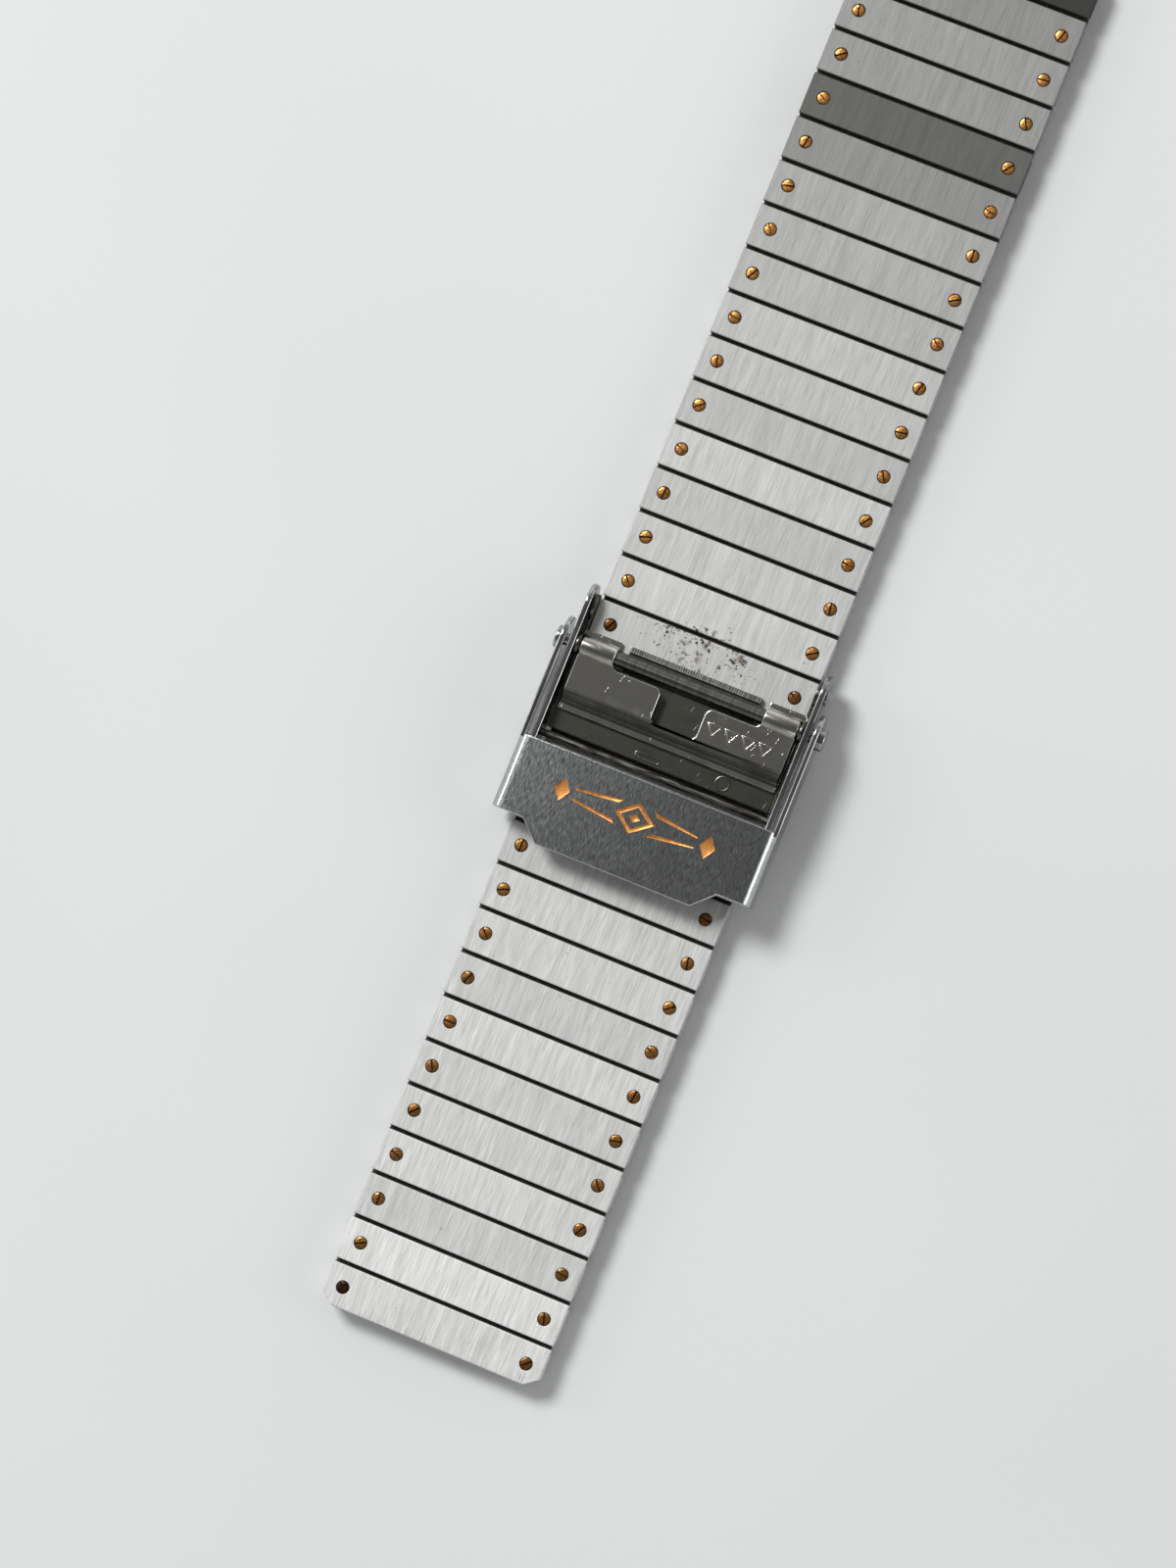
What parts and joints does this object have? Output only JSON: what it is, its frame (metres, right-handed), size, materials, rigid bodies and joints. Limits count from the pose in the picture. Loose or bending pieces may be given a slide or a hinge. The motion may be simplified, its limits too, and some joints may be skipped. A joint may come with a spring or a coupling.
{
  "type": "watch clasp",
  "caption": "Sliding fold-over clasp on a flat steel link bracelet half: hinged cover and frame, lock lever over a hook bar, brushed plates with slotted screws.",
  "frame": {"origin": "under the middle of the part, on the surface that the slider's floor rests on", "axes": "+Y along the bracelet to its watch end, +X to the right seen from the outside, +Z to the outer side"},
  "size_m": [0.0222, 0.1168, 0.005],
  "materials": {
    "link_steel": "brushed along the bracelet",
    "cover_steel": "brushed, with fine scratches",
    "stamped_steel": "stamped, dull",
    "polished_steel": "polished, worn",
    "spring_steel": "satin",
    "gold_fill": "polished"
  },
  "bodies": {
    "slider": {"slider_channel": "stamped_steel", "bridge_plate": "stamped_steel", "front_strips": "polished_steel", "clamp_leaf": "spring_steel", "hook_bar": "polished_steel", "frame_rivets": "polished_steel"},
    "lever": {"lock_lever": "polished_steel"},
    "inner_frame": {"inner_arm_left": "polished_steel", "inner_arm_right": "polished_steel", "keeper_bar": "polished_steel", "frame_crossbar": "stamped_steel"},
    "cover_body": {"cover": "cover_steel", "cover_rivets": "polished_steel", "catch_leaf": "spring_steel", "cover_inlay": "gold_fill"},
    "band_core": {"link_12": "link_steel", "link_13": "link_steel", "link_14": "link_steel", "link_15": "link_steel"},
    "segment_11": {"link_11": "link_steel"},
    "segment_10": {"link_10": "link_steel"},
    "segment_09": {"link_09": "link_steel"},
    "segment_08": {"link_08": "link_steel"},
    "segment_07": {"link_07": "link_steel"},
    "segment_06": {"link_06": "link_steel"},
    "segment_05": {"link_05": "link_steel"},
    "segment_04": {"link_04": "link_steel"},
    "segment_03": {"link_03": "link_steel"},
    "segment_02": {"link_02": "link_steel"},
    "segment_01": {"link_01": "link_steel"},
    "segment_00": {"link_00": "link_steel"},
    "segment_16": {"link_16": "link_steel"},
    "segment_17": {"link_17": "link_steel"},
    "segment_18": {"link_18": "link_steel"},
    "segment_19": {"link_19": "link_steel"},
    "segment_20": {"link_20": "link_steel"},
    "segment_21": {"link_21": "link_steel"},
    "segment_22": {"link_22": "link_steel"},
    "segment_23": {"link_23": "link_steel"},
    "segment_24": {"link_24": "link_steel"},
    "segment_25": {"link_25": "link_steel"},
    "segment_26": {"link_26": "link_steel"},
    "segment_27": {"link_27": "link_steel"},
    "segment_28": {"link_28": "link_steel"},
    "segment_29": {"link_29": "link_steel"},
    "segment_30": {"link_30": "link_steel"},
    "segment_31": {"link_31": "link_steel"}
  },
  "joints": [
    {"name": "lever_turn", "type": "hinge", "parent": "slider", "child": "lever", "pos_m": [0, -0.00445, 0.00331], "axis": [-1, 0, 0], "range_deg": [0, 80]},
    {"name": "frame_lift", "type": "hinge", "parent": "slider", "child": "inner_frame", "pos_m": [0, -0.00136, 0.00263], "axis": [-1, 0, 0], "range_deg": [0, 70]},
    {"name": "cover_lift", "type": "hinge", "parent": "inner_frame", "child": "cover_body", "pos_m": [0, -0.00448, 0.00303], "axis": [-1, 0, 0], "range_deg": [0, 95]},
    {"name": "band_slide", "type": "slide", "parent": "slider", "child": "band_core", "axis": [0, 1, 0], "range_m": [-0.0025, 0.0025]},
    {"name": "link_11_turn", "type": "hinge", "parent": "band_core", "child": "segment_11", "pos_m": [0, -0.01493, 0.00115], "axis": [1, 0, 0], "range_deg": [-4, 12]},
    {"name": "link_10_turn", "type": "hinge", "parent": "segment_11", "child": "segment_10", "pos_m": [0, -0.01857, 0.00115], "axis": [1, 0, 0], "range_deg": [-4, 12]},
    {"name": "link_09_turn", "type": "hinge", "parent": "segment_10", "child": "segment_09", "pos_m": [0, -0.02221, 0.00115], "axis": [1, 0, 0], "range_deg": [-4, 12]},
    {"name": "link_08_turn", "type": "hinge", "parent": "segment_09", "child": "segment_08", "pos_m": [0, -0.02585, 0.00115], "axis": [1, 0, 0], "range_deg": [-4, 12]},
    {"name": "link_07_turn", "type": "hinge", "parent": "segment_08", "child": "segment_07", "pos_m": [0, -0.02949, 0.00115], "axis": [1, 0, 0], "range_deg": [-4, 12]},
    {"name": "link_06_turn", "type": "hinge", "parent": "segment_07", "child": "segment_06", "pos_m": [0, -0.03313, 0.00115], "axis": [1, 0, 0], "range_deg": [-4, 12]},
    {"name": "link_05_turn", "type": "hinge", "parent": "segment_06", "child": "segment_05", "pos_m": [0, -0.03677, 0.00115], "axis": [1, 0, 0], "range_deg": [-4, 12]},
    {"name": "link_04_turn", "type": "hinge", "parent": "segment_05", "child": "segment_04", "pos_m": [0, -0.04041, 0.00115], "axis": [1, 0, 0], "range_deg": [-4, 12]},
    {"name": "link_03_turn", "type": "hinge", "parent": "segment_04", "child": "segment_03", "pos_m": [0, -0.04405, 0.00115], "axis": [1, 0, 0], "range_deg": [-4, 12]},
    {"name": "link_02_turn", "type": "hinge", "parent": "segment_03", "child": "segment_02", "pos_m": [0, -0.04769, 0.00115], "axis": [1, 0, 0], "range_deg": [-4, 12]},
    {"name": "link_01_turn", "type": "hinge", "parent": "segment_02", "child": "segment_01", "pos_m": [0, -0.05133, 0.00115], "axis": [1, 0, 0], "range_deg": [-4, 12]},
    {"name": "link_00_turn", "type": "hinge", "parent": "segment_01", "child": "segment_00", "pos_m": [0, -0.05497, 0.00115], "axis": [1, 0, 0], "range_deg": [-4, 12]},
    {"name": "link_16_turn", "type": "hinge", "parent": "band_core", "child": "segment_16", "pos_m": [0, -0.00037, 0.00115], "axis": [-1, 0, 0], "range_deg": [-4, 12]},
    {"name": "link_17_turn", "type": "hinge", "parent": "segment_16", "child": "segment_17", "pos_m": [0, 0.00327, 0.00115], "axis": [-1, 0, 0], "range_deg": [-4, 12]},
    {"name": "link_18_turn", "type": "hinge", "parent": "segment_17", "child": "segment_18", "pos_m": [0, 0.00691, 0.00115], "axis": [-1, 0, 0], "range_deg": [-4, 12]},
    {"name": "link_19_turn", "type": "hinge", "parent": "segment_18", "child": "segment_19", "pos_m": [0, 0.01055, 0.00115], "axis": [-1, 0, 0], "range_deg": [-4, 12]},
    {"name": "link_20_turn", "type": "hinge", "parent": "segment_19", "child": "segment_20", "pos_m": [0, 0.01419, 0.00115], "axis": [-1, 0, 0], "range_deg": [-4, 12]},
    {"name": "link_21_turn", "type": "hinge", "parent": "segment_20", "child": "segment_21", "pos_m": [0, 0.01783, 0.00115], "axis": [-1, 0, 0], "range_deg": [-4, 12]},
    {"name": "link_22_turn", "type": "hinge", "parent": "segment_21", "child": "segment_22", "pos_m": [0, 0.02147, 0.00115], "axis": [-1, 0, 0], "range_deg": [-4, 12]},
    {"name": "link_23_turn", "type": "hinge", "parent": "segment_22", "child": "segment_23", "pos_m": [0, 0.02511, 0.00115], "axis": [-1, 0, 0], "range_deg": [-4, 12]},
    {"name": "link_24_turn", "type": "hinge", "parent": "segment_23", "child": "segment_24", "pos_m": [0, 0.02875, 0.00115], "axis": [-1, 0, 0], "range_deg": [-4, 12]},
    {"name": "link_25_turn", "type": "hinge", "parent": "segment_24", "child": "segment_25", "pos_m": [0, 0.03239, 0.00115], "axis": [-1, 0, 0], "range_deg": [-4, 12]},
    {"name": "link_26_turn", "type": "hinge", "parent": "segment_25", "child": "segment_26", "pos_m": [0, 0.03603, 0.00115], "axis": [-1, 0, 0], "range_deg": [-4, 12]},
    {"name": "link_27_turn", "type": "hinge", "parent": "segment_26", "child": "segment_27", "pos_m": [0, 0.03967, 0.00115], "axis": [-1, 0, 0], "range_deg": [-4, 12]},
    {"name": "link_28_turn", "type": "hinge", "parent": "segment_27", "child": "segment_28", "pos_m": [0, 0.04331, 0.00115], "axis": [-1, 0, 0], "range_deg": [-4, 12]},
    {"name": "link_29_turn", "type": "hinge", "parent": "segment_28", "child": "segment_29", "pos_m": [0, 0.04695, 0.00115], "axis": [-1, 0, 0], "range_deg": [-4, 12]},
    {"name": "link_30_turn", "type": "hinge", "parent": "segment_29", "child": "segment_30", "pos_m": [0, 0.05059, 0.00115], "axis": [-1, 0, 0], "range_deg": [-4, 12]},
    {"name": "link_31_turn", "type": "hinge", "parent": "segment_30", "child": "segment_31", "pos_m": [0, 0.05423, 0.00115], "axis": [-1, 0, 0], "range_deg": [-4, 12]}
  ]
}
